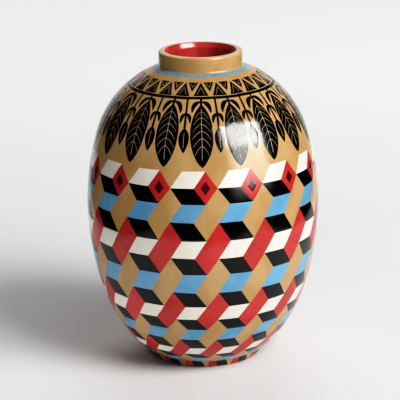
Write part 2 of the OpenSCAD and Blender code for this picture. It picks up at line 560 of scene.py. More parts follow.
    def place(self, angle: np.ndarray, climb: np.ndarray, lift: np.ndarray | float) -> np.ndarray:
        """Puts places on the wall into space.

        Args:
            angle: Angles round the wall.
            climb: Climbs up the wall.
            lift: Heights over the wall.

        Returns:
            An array whose last axis is X, Y and Z.
        """
        radius, height = (np.interp(climb, self._climb, self._line[:, k]) for k in (0, 1))
        outward, upward = (np.interp(climb, self._climb, self._normal[:, k]) for k in (0, 1))
        reach = radius + lift * outward
        return np.stack([reach * np.sin(angle), -reach * np.cos(angle), height + lift * upward], -1)


def into_scene(name: str, data: bpy.types.ID) -> bpy.types.Object:
    """Makes an object of some data and puts it into the scene.

    Args:
        name: Name of the object.
        data: Mesh, lamp or camera that it shows.

    Returns:
        The new object.
    """
    made = bpy.data.objects.new(name, data)
    bpy.context.scene.collection.objects.link(made)
    return made


def add_piece(
    name: str, points: np.ndarray, faces: list, material: bpy.types.Material, slot: Slot
) -> bpy.types.Object:
    """Makes a mesh piece that rides on the vase.

    Args:
        name: Name of the piece.
        points: Rows of X, Y and Z.
        faces: Lists of point numbers.
        material: What it wears.
        slot: Not used.

    Returns:
        The new object.
    """
    mesh = bpy.data.meshes.new(name)
    mesh.from_pydata(points.tolist(), [], faces)
    mesh.materials.append(material)
    mesh.shade_smooth()
    mesh.set_sharp_from_angle(angle=SHARP_TURN)
    piece = into_scene(name, mesh)
    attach(piece, ROOT)
    log.info("%s: %d faces", name, len(mesh.polygons))
    return piece


def thinned(line: np.ndarray, step: float, corner: float = math.radians(15)) -> np.ndarray:
    """Keeps points of a line that are about a step apart, and its ends and corners.

    Args:
        line: Rows of radius and height.
        step: Distance to keep between points.
        corner: Least turn that makes a corner.

    Returns:
        The fewer points.
    """
    way = np.diff(line, axis=0)
    bearing = np.unwrap(np.arctan2(way[:, 1], way[:, 0]))
    stops = [0, *(np.flatnonzero(np.abs(np.diff(bearing)) > corner) + 1), len(line) - 1]
    kept = [line[:1]]
    for first, last in zip(stops, stops[1:]):
        part = line[first : last + 1]
        length = np.concatenate([[0.0], np.cumsum(np.hypot(*np.diff(part, axis=0).T))])
        at = np.linspace(0.0, length[-1], max(2, round(length[-1] / step) + 1))[1:]
        kept.append(np.stack([np.interp(at, length, part[:, k]) for k in (0, 1)], 1))
    return np.concatenate(kept)


def turned(outline: np.ndarray, segments: int) -> tuple[np.ndarray, list[tuple[int, ...]]]:
    """Turns a closed outline round the vase's axis.

    Args:
        outline: Rows of radius and height, round the section. A radius of 0 is on the axis.
        segments: Steps round the axis.

    Returns:
        The points and the faces.
    """
    angle = np.arange(segments) * (FULL_TURN / segments)
    points, rings = [], []
    for radius, height in outline:
        if radius < TINY:
            rings.append([len(points)] * segments)
            points.append((0.0, 0.0, height))
            continue
        rings.append(list(range(len(points), len(points) + segments)))
        points.extend(zip(radius * np.sin(angle), -radius * np.cos(angle), [height] * segments))
    faces = []
    for low, high in zip(rings, rings[1:] + rings[:1]):
        for here in range(segments):
            onward = (here + 1) % segments
            corners = dict.fromkeys((low[here], low[onward], high[onward], high[here]))
            if len(corners) > 2:
                faces.append(tuple(corners))
    return np.array(points), faces


@dataclass
class GlazeCoats:
    """The two glaze coats as smooth turned shells: the ochre ground outside and the red lining inside."""

    wall: VaseWall
    coat: float = 0.8 * MM
    bare_h: float = 1.0 * MM
    lining_depth: float = 9.0 * MM
    floor_z: float = 23.6 * MM
    # Rounding where the collar meets the shoulder, the share of it at its middle, and how low that lies
    fillet: float = 1.2 * MM
    fillet_share: float = 0.3
    fillet_drop: float = 0.1 * MM
    lip_edge: float = 0.9 * MM
    lip_points: int = 5
    lip_split_deg: float = 104.0
    lip_back: float = 0.3 * MM
    flare_bend: float = 4.0 * MM
    # Throwing rings of the lining, which end below the shoulder and above the floor
    ring_height: float = 0.2 * MM
    ring_pitch: float = 13.0 * MM
    ring_end: float = 20.0 * MM
    ring_start_z: float = 30.0 * MM
    wall_step: float = 2.6 * MM
    hidden_step: float = 8.0 * MM
    segments: int = 288

    def lip_arc(self, first_deg: float, last_deg: float) -> np.ndarray:
        """Gives part of the small rounding between the rim and the flare.

        Args:
            first_deg: Angle at which it starts, from the outside.
            last_deg: Angle at which it ends.

        Returns:
            Rows of radius and height.
        """
        lean = self.wall.flare_lean
        mitre = (1 - math.sin(lean)) / math.cos(lean)
        centre = (self.wall.lip_r + self.lip_edge * mitre, self.wall.rim_z - self.lip_edge)
        return quarter(centre, self.lip_edge, first_deg, last_deg, self.lip_points)

    def behind_lip(self, edge: np.ndarray) -> np.ndarray:
        """Gives the point under the lip at which the two coats part, as one row."""
        return np.array([[edge[0] + self.lip_back, self.wall.rim_z - self.coat]])

    def ground_outline(self) -> np.ndarray:
        """Outline of the ochre coat: up the outside, over the rim and back down inside the coat.

        Returns:
            Rows of radius and height, round the coat's section.
        """
        wall, lip = self.wall, self.wall.lip_round
        lip_z, outer = wall.rim_z - lip, wall.collar_r
        shoulder = thinned(wall.outline(0.0, self.bare_h, outer + self.fillet), self.wall_step)
        bend = self.fillet_share * self.fillet
        foot_of_collar = np.array([[outer + bend, wall.shoulder_z + bend - self.fillet_drop]])
        upright = np.array([[outer, wall.shoulder_z + self.fillet], [outer, lip_z]])
        outer_lip = quarter((outer - lip, lip_z), lip, 0, 90)[1:]
        inner_lip = self.lip_arc(90, self.lip_split_deg)
        under_outer = quarter((outer - lip, lip_z), lip - self.coat, 90, 0)
        inside = thinned(wall.outline(self.coat, self.bare_h, outer - self.coat), self.hidden_step)[::-1]
        collar = [foot_of_collar, thinned(upright, self.wall_step), outer_lip, inner_lip]
        return np.concatenate([shoulder, *collar, self.behind_lip(inner_lip[-1]), under_outer, inside])

    def lining_outline(self) -> np.ndarray:
        """Outline of the red coat: the hidden side from the floor to the lip, then down the seen side.

        Returns:
            Rows of radius and height, round the coat's section.
        """
        wall, bore, bend = self.wall, self.wall.mouth_r, self.flare_bend
        flare_deg = 180 - math.degrees(wall.flare_lean)
        bend_share = math.tan(wall.flare_lean / 2)
        flare_z = wall.rim_z - wall.flare_h
        hidden = thinned(wall.outline(self.lining_depth, self.floor_z, bore + self.coat), self.hidden_step)
        behind = [[bore + self.coat, flare_z - self.coat * bend_share]]
        lip = self.lip_arc(self.lip_split_deg, flare_deg)
        bent = quarter((bore + bend, flare_z - bend * bend_share), bend, flare_deg, 180)
        inner_depth, inner_z = self.lining_depth + self.coat, self.floor_z + self.coat
        seen = thinned(wall.outline(inner_depth, inner_z, bore), self.wall_step)
        throat = thinned(np.array([bent[-1], seen[-1]]), self.wall_step)[1:-1]
        height = seen[:, 1]
        ripple = self.ring_height * np.sin(FULL_TURN * height / self.ring_pitch)
        rippled = (height < wall.shoulder_z - self.ring_end) & (height > self.ring_start_z)
        seen[:, 0] -= np.where(rippled, ripple + self.ring_height, 0.0)
        under, middle = np.array([[0.0, self.floor_z]]), np.array([[0.0, inner_z]])
        return np.concatenate(
            [under, hidden, behind, self.behind_lip(lip[0]), lip, bent, throat, seen[::-1], middle]
        )

    def build(self) -> None:
        """Makes both coats, which stand for the plain ones of the frame."""
        ground_finish = GroundGlaze(self.wall.shoulder_z, self.wall.rim_z).material()
        ground_mesh = turned(self.ground_outline(), self.segments)
        ground = add_piece("ground_coat", *ground_mesh, ground_finish, Slot.PAINTED)
        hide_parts("outer_glaze")
        lining_mesh = turned(self.lining_outline(), self.segments)
        lining = add_piece("lining_coat", *lining_mesh, LiningGlaze().material(), Slot.RED)
        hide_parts("red_lining")


@dataclass
class PaintFilm:
    """Thin closed patches of one paint on the wall, gathered into one piece."""

    wall: VaseWall
    lift: float = 0.05 * MM
    sink: float = 0.04 * MM
    bed: float = 0.30 * MM
    # Width of the sloping edge, and its largest shares of a patch and of half a stroke
    edge: float = 0.35 * MM
    patch_edge: float = 0.25
    stroke_edge: float = 0.4
    # Unsteadiness of the hand, and the density and share of its finer part
    wobble: float = 0.45 * MM
    wobbles_per_m: float = 38.0
    fine_ratio: float = 4.1
    fine_share: float = 0.3
    points: list = field(default_factory=list)
    faces: list = field(default_factory=list)
    tones: list = field(default_factory=list)

    def swayed(self, angle: np.ndarray, climb: np.ndarray) -> tuple[np.ndarray, np.ndarray]:
        """Moves places as an unsteady hand does, by the same amount for every paint at the same place.

        Args:
            angle: Angles round the wall.
            climb: Climbs up the wall.

        Returns:
            The moved angles and climbs.
        """
        spots = self.wall.place(angle, climb, 0.0).reshape(-1, 3) * self.wobbles_per_m
        coarse, fine = (
            np.array([noise.noise_vector(Vector(spot * ratio)) for spot in spots])
            for ratio in (1.0, self.fine_ratio)
        )
        sway = (coarse + self.fine_share * fine)[:, :2].reshape(*angle.shape, 2)
        sway *= (self.wobble / self.wall.radius_at(climb))[..., None]
        return angle + sway[..., 0], climb + sway[..., 1]

    def add_grid(self, angle: np.ndarray, climb: np.ndarray, tone: float, wraps: bool = False) -> None:
        """Adds a patch whose outermost points dip below the ground.

        Args:
            angle: Angles of a grid of places, in rows.
            climb: Climbs of the same grid.
            tone: Light or dark share of this patch, from 0 to 1.
            wraps: Whether each row closes on itself.
        """
        turn = (angle[-1, -1] - angle[0, 0]) * (climb[-1, 0] - climb[0, -1])
        turn -= (climb[-1, -1] - climb[0, 0]) * (angle[-1, 0] - angle[0, -1])
        if not wraps and turn < 0:
            angle, climb = angle[:, ::-1], climb[:, ::-1]
        angle, climb = self.swayed(angle, climb)
        rows, columns = angle.shape
        height = np.full(angle.shape, self.lift)
        height[[0, -1], :] = -self.sink
        if not wraps:
            height[:, [0, -1]] = -self.sink
        first = sum(len(block) for block in self.points)
        self.points.append(self.wall.place(angle, climb, height).reshape(-1, 3))
        self.points.append(self.wall.place(angle, climb, -self.bed).reshape(-1, 3))
        under = rows * columns
        self.tones.extend([tone] * (2 * under))
        top = first + np.arange(under).reshape(rows, columns)
        if wraps:
            top = np.concatenate([top, top[:, :1]], 1)
        a, b, c, d = top[:-1, :-1], top[:-1, 1:], top[1:, 1:], top[1:, :-1]
        self.faces.append(np.stack([a, b, c, d], -1).reshape(-1, 4))
        self.faces.append(np.stack([a, d, c, b], -1).reshape(-1, 4) + under)
        rims = [top[0], top[-1, ::-1]]
        if not wraps:
            rims = [np.concatenate([top[0], top[1:, -1], top[-1, -2::-1], top[-2::-1, 0]])]
        for rim in rims:
            here, onward = rim[:-1], rim[1:]
            self.faces.append(np.stack([onward, here, here + under, onward + under], -1))

    def steps(self, count: int, size: float) -> np.ndarray:
        """Gives shares across a patch, the outermost beyond its edge and the next inside it.

        Args:
            count: Parts between the two that lie inside.
            size: Width of the patch in metres.

        Returns:
            The shares, where 0 and 1 are the patch's edges.
        """
        edge = min(self.edge / size, self.patch_edge)
        return np.concatenate([[-edge], np.linspace(edge, 1 - edge, count + 1), [1 + edge]])

    def add_stroke(
        self, path: np.ndarray, half_width: np.ndarray | float, tone: float, parts: int = 2
    ) -> None:
        """Adds a brush stroke along a path.

        Args:
            path: Rows of angle and climb.
            half_width: Half of the stroke's width at each point, to the same scale as the path.
            tone: Light or dark share of the stroke.
            parts: Parts across the stroke.
        """
        radius = float(self.wall.radius_at(path[:, 1]).mean())
        half = np.broadcast_to(np.asarray(half_width, float), len(path)).copy()
        tip = min(self.edge / radius, 2 * float(half.max()))
        ends = [
            end + (end - inner) / np.linalg.norm(end - inner) * tip
            for end, inner in ((path[0], path[1]), (path[-1], path[-2]))
        ]
        path = np.concatenate([ends[:1], path, ends[1:]])
        half = np.concatenate([half[:1], half, half[-1:]])
        along = np.gradient(path, axis=0)
        along /= np.linalg.norm(along, axis=1, keepdims=True)
        across = np.stack([-along[:, 1], along[:, 0]], 1)
        edge = np.minimum(self.edge / radius, self.stroke_edge * half)[:, None]
        half = half[:, None]
        inner = (half - edge) * np.linspace(-1, 1, parts + 1)
        offsets = np.concatenate([-half - edge, inner, half + edge], 1)
        grid = path[:, None, :] + across[:, None, :] * offsets[..., None]
        self.add_grid(grid[..., 0], grid[..., 1], tone)

    def build(self, name: str, finish: BrushedPaint) -> None:
        """Makes the piece.

        Args:
            name: Name of the piece.
            finish: Paint that it wears.
        """
        faces = np.concatenate(self.faces).tolist()
        piece = add_piece(name, np.concatenate(self.points), faces, finish.material(), Slot.PAINTED)
        tone = piece.data.attributes.new("tone", "FLOAT", "POINT")
        tone.data.foreach_set("value", np.array(self.tones, np.float32))


class BlockPaint(Enum):
    """Paints of the block lattice."""

    WHITE = BrushedPaint("block_white", paint(241, 233, 217), paint(247, 242, 231), tone_swing=0.03)
    BLACK = BrushedPaint("block_black", paint(5, 5, 6), paint(9, 9, 10))
    BLUE = BrushedPaint("block_blue", paint(106, 162, 198), paint(122, 174, 208), tone_swing=0.07)
    RED = BrushedPaint("block_red", paint(197, 66, 62), paint(185, 52, 50), tone_swing=0.08)
    MAROON = BrushedPaint("block_maroon", paint(84, 30, 40), paint(66, 22, 32), tone_swing=0.08)


@dataclass
class BlockLattice:
    """Tumbling blocks on the lower wall: rows of tiles that lean by turns, red bars across the white ones.

    A place in the lattice is a column, counted in repeats round the wall, and a line, counted down from the
    top row.
    """

    wall: VaseWall
    chance: random.Random
    columns: int = 15
    start: float = math.radians(7.5)
    crowding: float = math.radians(2.0)
    line_heights_mm: tuple[float, ...] = (
        282.4, 261.6, 242.0, 218.9, 195.8, 172.7, 151.1, 125.6, 105.3,
        86.3, 70.8, 53.8, 38.8, 27.5, 19.7, 10.5, 0.0,
    )
    lowest_z: float = 1.2 * MM
    # Paints of the rows, which repeat downwards, and the lean and width of a tile in columns
    row_paints: tuple[BlockPaint, ...] = (
        BlockPaint.WHITE,
        BlockPaint.BLACK,
        BlockPaint.BLUE,
        BlockPaint.BLACK,
    )
    lean: float = 0.25
    tile: float = 0.5
    mesh_step: float = 3.0 * MM
    # Size of the dark rhombus as a share of the red face below it, and its height over the ground
    rhombus_share: float = 0.42
    rhombus_lift: float = 0.10 * MM
    # Row on the foot: how far it is turned, over how many lines that builds up, and the columns of its two
    # tiles at their lower and upper edges
    foot_drift: float = 0.1
    drift_lines: int = 2
    foot_black: tuple[Pair, Pair] = ((0.08, 0.56), (0.0, 0.43))
    foot_red: tuple[Pair, Pair] = ((0.69, 1.08), (0.75, 1.0))

    def __post_init__(self) -> None:
        """Works out the climb of each line and where the last row is cut off."""
        self.line_climbs = self.wall.climb_at(np.array(self.line_heights_mm) * MM)
        self.lines = np.arange(len(self.line_climbs))
        self.foot_line = len(self.line_climbs) - 2
        lowest = float(self.wall.climb_at(self.lowest_z))
        self.last_line = float(np.interp(-lowest, -self.line_climbs, self.lines))
        self.films = {kind: PaintFilm(self.wall) for kind in BlockPaint}
        self.films[BlockPaint.MAROON].lift = self.rhombus_lift

    def spot(self, column: np.ndarray, line: np.ndarray) -> tuple[np.ndarray, np.ndarray]:
        """Turns lattice places into angles and climbs.

        Args:
            column: Columns of the places.
            line: Lines of the places.

        Returns:
            The angles and the climbs.
        """
        into_foot = (line - self.foot_line + self.drift_lines) / self.drift_lines
        drift = self.foot_drift * np.clip(into_foot, 0.0, 1.0)
        turn = FULL_TURN * (column + drift) / self.columns + self.start
        return turn - self.crowding * np.sin(turn), np.interp(line, self.lines, self.line_climbs)

    def length(self, start: np.ndarray, end: np.ndarray) -> float:
        """Gives the length in metres of a tile's side between two lattice places.

        Args:
            start: Column and line of its start.
            end: Column and line of its end.

        Returns:
            The length.
        """
        low, high = np.interp([start[1], end[1]], self.lines, self.line_climbs)
        radius = float(self.wall.radius_at((low + high) / 2))
        return radius * math.hypot(FULL_TURN / self.columns * (end[0] - start[0]), high - low)

    def shares(self, film: PaintFilm, size: float) -> np.ndarray:
        """Gives shares across a tile, close enough for its mesh to follow the wall's curve."""
        return film.steps(math.ceil(size / self.mesh_step), size)

    def add_tile(self, kind: BlockPaint, corners: list[Pair]) -> None:
        """Adds a four-sided tile once in each column.

        Args:
            kind: Its paint.
            corners: Columns and lines of its corners, round the tile.
        """
        film = self.films[kind]
        a, b, c, d = (np.array(corner) for corner in corners)
        across = self.shares(film, max(self.length(a, b), self.length(d, c)))[None, :, None]
        along = self.shares(film, max(self.length(a, d), self.length(b, c)))[:, None, None]
        grid = (a * (1 - across) + b * across) * (1 - along) + (d * (1 - across) + c * across) * along
        for column in range(self.columns):
            film.add_grid(*self.spot(grid[..., 0] + column, grid[..., 1]), self.chance.random())

    def add_rows(self) -> None:
        """Adds the white, black and blue rows above the foot."""
        for row in range(self.foot_line):
            low, high = (0.0, self.lean) if row % 2 == 0 else (self.lean, 0.0)
            tile = [(low, row + 1), (low + self.tile, row + 1), (high + self.tile, row), (high, row)]
            self.add_tile(self.row_paints[row % len(self.row_paints)], tile)

    def add_bars(self) -> None:
        """Adds the red bars, and the red faces of the top row with a dark rhombus on each."""
        lean, tile = self.lean, self.tile
        middle = tile + lean
        for kind, share in ((BlockPaint.RED, 1.0), (BlockPaint.MAROON, self.rhombus_share)):
            aside = lean * share
            face = [(middle - aside, 1), (middle, 1 + share), (middle + aside, 1), (middle, 1 - share)]
            self.add_tile(kind, face)
        repeat = len(self.row_paints)
        for row in range(repeat, self.foot_line, repeat):
            bar = [(tile, row + 1), (middle, row + 2), (tile + middle, row), (2 * tile, row - 1)]
            self.add_tile(BlockPaint.RED, bar)

    def add_foot(self) -> None:
        """Adds the row on the foot, which the table cuts off."""
        top, end = self.foot_line, self.last_line
        for kind, (low, high) in ((BlockPaint.BLACK, self.foot_black), (BlockPaint.RED, self.foot_red)):
            self.add_tile(kind, [(low[0], end), (low[1], end), (high[1], top), (high[0], top)])

    def build(self) -> None:
        """Makes one piece for each paint."""
        self.add_rows()
        self.add_bars()
        self.add_foot()
        for kind, film in self.films.items():
            film.build(f"blocks_{kind.name.lower()}", kind.value)


class FriezePaint(Enum):
    """Paints of the shoulder frieze."""

    FIGURE = BrushedPaint(
        "frieze_black",
        paint(5, 5, 6),
        paint(9, 9, 9),
        rough=(0.06, 0.165),
        stroke_stretch=(2.2, 2.2, 0.7),
        stroke_depth=0.2 * MM,
    )
    LINE = BrushedPaint("frieze_line", paint(206, 176, 132), paint(222, 198, 160), tone_swing=0.05)
    RING = BrushedPaint("collar_blue", paint(104, 156, 186), paint(122, 170, 196), tone_swing=0.0)


@dataclass
class LeafFrieze:
    """Shoulder frieze: leaves and buds hang from a black ring, below a zigzag band and a blue ring.

    A way hangs from the black ring: each of its points is a distance aside and a drop below the ring. Sizes
    of motifs are to the scale of angle and climb, and plain shares run from a motif's start to its end.
    """

    wall: VaseWall
    chance: random.Random
    leaves: int = 18
    ring_low_z: float = 361.6 * MM
    ring_high_z: float = 364.1 * MM
    ring_steps: int = 360
    even_tone: float = 0.5
    line_lift: float = 0.10 * MM
    fine_point: float = 0.004
    # Leaf: its tip, its shape, and the points along it between which its midrib runs
    tip_z: float = 286.6 * MM
    leaf_half: float = 0.104
    leaf_tip: float = 0.003
    leaf_points: int = 34
    midrib: tuple[int, int] = (6, 31)
    stem_half: float = 0.014
    stalk_share: float = 0.13
    blade_swell: float = 2.93
    blade_bends: Pair = (0.8, 0.75)
    # Veins: where along the leaf they start, how far ahead its width is taken, and their reach in that width
    vein_half: float = 0.0021
    vein_pairs: int = 6
    vein_start: float = 0.24
    vein_pitch: float = 0.1
    vein_ahead: float = 0.09
    vein_reach: float = 0.78
    vein_bend: Pair = (0.6, 0.02)
    vein_drop: float = 0.085 / 0.72
    vein_taper: Pair = (0.9, 0.55)
    # Petals that hang on a stem
    calyx: Way = ((0.0, 0.045), (0.094, 0.035), (0.108, 0.195))
    calyx_half: float = 0.024
    calyx_points: int = 12
    leaflet: Way = ((0.0, 0.21), (0.05, 0.215), (0.052, 0.32))
    leaflet_half: float = 0.016
    leaflet_points: int = 9
    petal_bend: float = 0.8
    # Bud on its stem
    bud_stem: Way = ((0.0, 0.0), (0.0, 0.2), (0.0, 0.4))
    bud_stem_half: float = 0.012
    bud_stem_points: int = 12
    bud: Way = ((0.0, 0.38), (0.0, 0.5), (0.0, 0.615))
    bud_half: float = 0.046
    bud_tip: float = 0.005
    bud_bends: Pair = (0.8, 0.9)
    bud_points: int = 16
    bud_midrib: tuple[int, int] = (3, 13)
    # Zigzag band: its place over the ring, and how far its teeth stop short of its other edge
    teeth: int = 24
    tooth_points: int = 9
    band_gap: float = 0.014
    band_height: float = 0.285
    standing_half: float = 0.102
    standing_short: float = 0.01
    hanging_half: float = 0.086
    hanging_short: float = 0.085
    # Pale chevron as shares of its tooth, and its width in veins
    chevron_peak: float = 0.62
    chevron_foot: Pair = (0.5, 0.1)
    chevron_width: float = 1.2
    # Blue ring: its points and how far they reach down, its height and its gap to the collar
    blue_points: int = 24
    point_depth: float = 0.075
    blue_z: float = 382.6 * MM
    blue_gap: float = 1.0 * MM
    blue_steps: int = 720

    def __post_init__(self) -> None:
        """Works out the climbs of the bands and starts the films."""
        heights = np.array([self.ring_low_z, self.ring_high_z, self.tip_z])
        self.ring_low, self.ring_high, tip = (float(climb) for climb in self.wall.climb_at(heights))
        self.drop = self.ring_low - tip
        self.figure = PaintFilm(self.wall)
        self.line = PaintFilm(self.wall, lift=self.line_lift)
        self.ring = PaintFilm(self.wall)

    @staticmethod
    def curve(way: Way, count: int = 9) -> np.ndarray:
        """Gives a smooth path.

        Args:
            way: Its three control points.
            count: How many points to give.

        Returns:
            Rows of angle and climb.
        """
        share = np.linspace(0.0, 1.0, count)[:, None]
        first, middle, last = (np.array(point) for point in way)
        return first * (1 - share) ** 2 + middle * 2 * share * (1 - share) + last * share**2

    def hung(self, angle: float, way: Way, side: int = 1, count: int = 9) -> np.ndarray:
        """Hangs a way from the black ring.

        Args:
            angle: Angle of the motif's middle.
            way: Control points of the way.
            side: Side on which it lies, 1 or -1.
            count: How many points to give.

        Returns:
            Rows of angle and climb.
        """
        return self.curve(tuple((angle + side * aside, self.ring_low - drop) for aside, drop in way), count)

    def add_petals(self, angle: float, way: Way, half: float, count: int, tone: float) -> None:
        """Adds a pair of petals, pointed at both ends.

        Args:
            angle: Angle of the stem that they hang on.
            way: Control points of each.
            half: Half of a petal's width.
            count: Points along a petal.
            tone: Light or dark share of the pair.
        """
        swell = np.sin(math.pi * np.linspace(0.0, 1.0, count)) ** self.petal_bend
        for side in (-1, 1):
            self.figure.add_stroke(self.hung(angle, way, side, count), self.fine_point + half * swell, tone)

    def leaf_halves(self, share: np.ndarray) -> np.ndarray:
        """Gives half widths of a leaf.

        Args:
            share: Places along it, from its stalk at 0 to its tip at 1.

        Returns:
            The half width at each place.
        """
        blade = np.clip((share - self.stalk_share) / (1 - self.stalk_share), 0.0, 1.0)
        rise, fall = self.blade_bends
        swell = self.blade_swell * blade**rise * (1 - blade) ** fall
        stalk = self.stem_half * np.sqrt(1 - blade)
        return np.maximum(self.leaf_tip, stalk + self.leaf_half * swell)

    def add_veins(self, angle: float, side: int) -> None:
        """Adds the pale veins on one half of a leaf.

        Args:
            angle: Where the leaf's middle is.
            side: Half that they lie on, 1 or -1.
        """
        for pair in range(self.vein_pairs):
            start = self.vein_start + self.vein_pitch * pair
            reach = self.vein_reach * float(self.leaf_halves(np.array([start + self.vein_ahead]))[0])
            climb = self.ring_low - self.drop * start
            vein = self.curve((
                (angle + side * self.vein_half, climb),
                (angle + side * self.vein_bend[0] * reach, climb - self.vein_bend[1]),
                (angle + side * reach, climb - self.vein_drop * self.drop),
            ))
            taper = np.linspace(*self.vein_taper, len(vein))
            self.line.add_stroke(vein, self.vein_half * taper, self.even_tone)

    def add_leaf(self, angle: float) -> None:
        """Adds a hanging leaf with its calyx and its pale veins.

        Args:
            angle: Where its middle is.
        """
        tone = self.chance.random()
        share = np.linspace(0.0, 1.0, self.leaf_points)
        spine = np.stack([np.full_like(share, angle), self.ring_low - self.drop * share], 1)
        self.figure.add_stroke(spine, self.leaf_halves(share), tone, parts=6)
        self.line.add_stroke(spine[slice(*self.midrib)], self.vein_half, self.even_tone)
        self.add_petals(angle, self.calyx, self.calyx_half, self.calyx_points, tone)
        for side in (-1, 1):
            self.add_veins(angle, side)

    def add_bud(self, angle: float) -> None:
        """Adds a bud on a long stem with two leaflets, between two leaves.

        Args:
            angle: Where its stem is.
        """
        tone = self.chance.random()
        stem = self.hung(angle, self.bud_stem, count=self.bud_stem_points)
        self.figure.add_stroke(stem, self.bud_stem_half, tone)
        bud = self.hung(angle, self.bud, count=self.bud_points)
        stretch, swell = self.bud_bends
        share = np.linspace(0.0, 1.0, self.bud_points) ** stretch
        halves = self.bud_tip + self.bud_half * np.sin(math.pi * share) ** swell
        self.figure.add_stroke(bud, halves, tone, parts=4)
        midrib = bud[slice(*self.bud_midrib)]
        self.line.add_stroke(midrib, self.vein_half * self.vein_taper[0], self.even_tone)
        self.add_petals(angle, self.leaflet, self.leaflet_half, self.leaflet_points, tone)

    def add_tooth(self, angle: float, foot: float, tip: float, half: float) -> None:
        """Adds a tooth of the zigzag band with its pale chevron.

        Args:
            angle: Where its middle is.
            foot: Climb of its broad end.
            tip: Climb of its point.
            half: Half of its width at the broad end.
        """
        tone = self.chance.random()
        count, height = self.tooth_points, tip - foot
        spine = np.stack([np.full(count, angle), np.linspace(foot, tip, count)], 1)
        self.figure.add_stroke(spine, np.linspace(half, self.fine_point, count), tone, parts=4)
        peak = np.array([angle, foot + self.chevron_peak * height])
        aside, rise = self.chevron_foot
        for side in (-1, 1):
            low = np.array([angle + side * aside * half, foot + rise * height])
            chevron = self.curve((low, (low + peak) / 2, peak), count=5)
            self.line.add_stroke(chevron, self.vein_half * self.chevron_width, self.even_tone)

    def add_zigzag(self) -> None:
        """Adds the zigzag band: standing teeth, and smaller hanging ones between them."""
        low = self.ring_high + self.band_gap
        high = low + self.band_height
        for number in range(self.teeth):
            angle = FULL_TURN * number / self.teeth
            self.add_tooth(angle, low, high - self.standing_short, self.standing_half)
            between = angle + math.pi / self.teeth
            self.add_tooth(between, high, low + self.hanging_short, self.hanging_half)

    def add_band(self, film: PaintFilm, low: np.ndarray, high: np.ndarray, parts: int) -> None:
        """Adds a band right round the wall.

        Args:
            film: Film that it belongs to.
            low: Climb of its lower edge at even steps round the wall.
            high: Climb of its upper edge.
            parts: Parts between its edges.
        """
        angle = np.arange(len(low)) * (FULL_TURN / len(low))
        size = float((high - low).mean() * self.wall.radius_at((high + low) / 2).mean())
        across = film.steps(parts, size)[:, None]
        climb = low * (1 - across) + high * across
        film.add_grid(np.broadcast_to(angle, climb.shape), climb, self.even_tone, wraps=True)

    def add_rings(self) -> None:
        """Adds the black ring that the leaves hang from, and the pointed blue ring round the collar."""
        low, high = (np.full(self.ring_steps, climb) for climb in (self.ring_low, self.ring_high))
        self.add_band(self.figure, low, high, parts=2)
        steps = self.blue_steps
        wave = np.abs(np.arange(steps) * (2 * self.blue_points / steps) % 2 - 1)
        blue_low = float(self.wall.climb_at(self.blue_z)) - self.point_depth * wave
        blue_high = self.wall.climb_at_radius(self.wall.collar_r + self.blue_gap)
        self.add_band(self.ring, blue_low, np.full(steps, blue_high), parts=3)

    def build(self) -> None:
        """Makes the black figures, the pale lines on them and the blue ring."""
        for number in range(self.leaves):
            angle = FULL_TURN * number / self.leaves
            self.add_leaf(angle)
            self.add_bud(angle + math.pi / self.leaves)
        self.add_zigzag()
        self.add_rings()
        self.figure.build("frieze_figures", FriezePaint.FIGURE.value)
        self.line.build("frieze_lines", FriezePaint.LINE.value)
        self.ring.build("collar_ring", FriezePaint.RING.value)


@dataclass
class ClayBody:
    """The clay sections and the slip in their joints, which keep the frame's own shapes."""

    sections: tuple[str, ...] = ("foot_ring", "lower_body", "upper_body", "neck_collar")
    joints: tuple[str, ...] = ("foot_lute", "belly_lute", "collar_lute")
    clay: FiredClay = FiredClay("bare_clay", paint(196, 160, 124), paint(150, 112, 80))
    slip: FiredClay = FiredClay("joint_slip", paint(176, 138, 104), paint(136, 98, 70))

    def dress(self) -> None:
        """Gives each section and joint its material."""
        for names, finish in ((self.sections, self.clay), (self.joints, self.slip)):
            material = finish.material()
            for name in names:
                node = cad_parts[name]
                if not node.material_slots:
                    node.data.materials.append(None)
                for slot in node.material_slots:
                    slot.material = material
                log.info("%s: dressed", name)


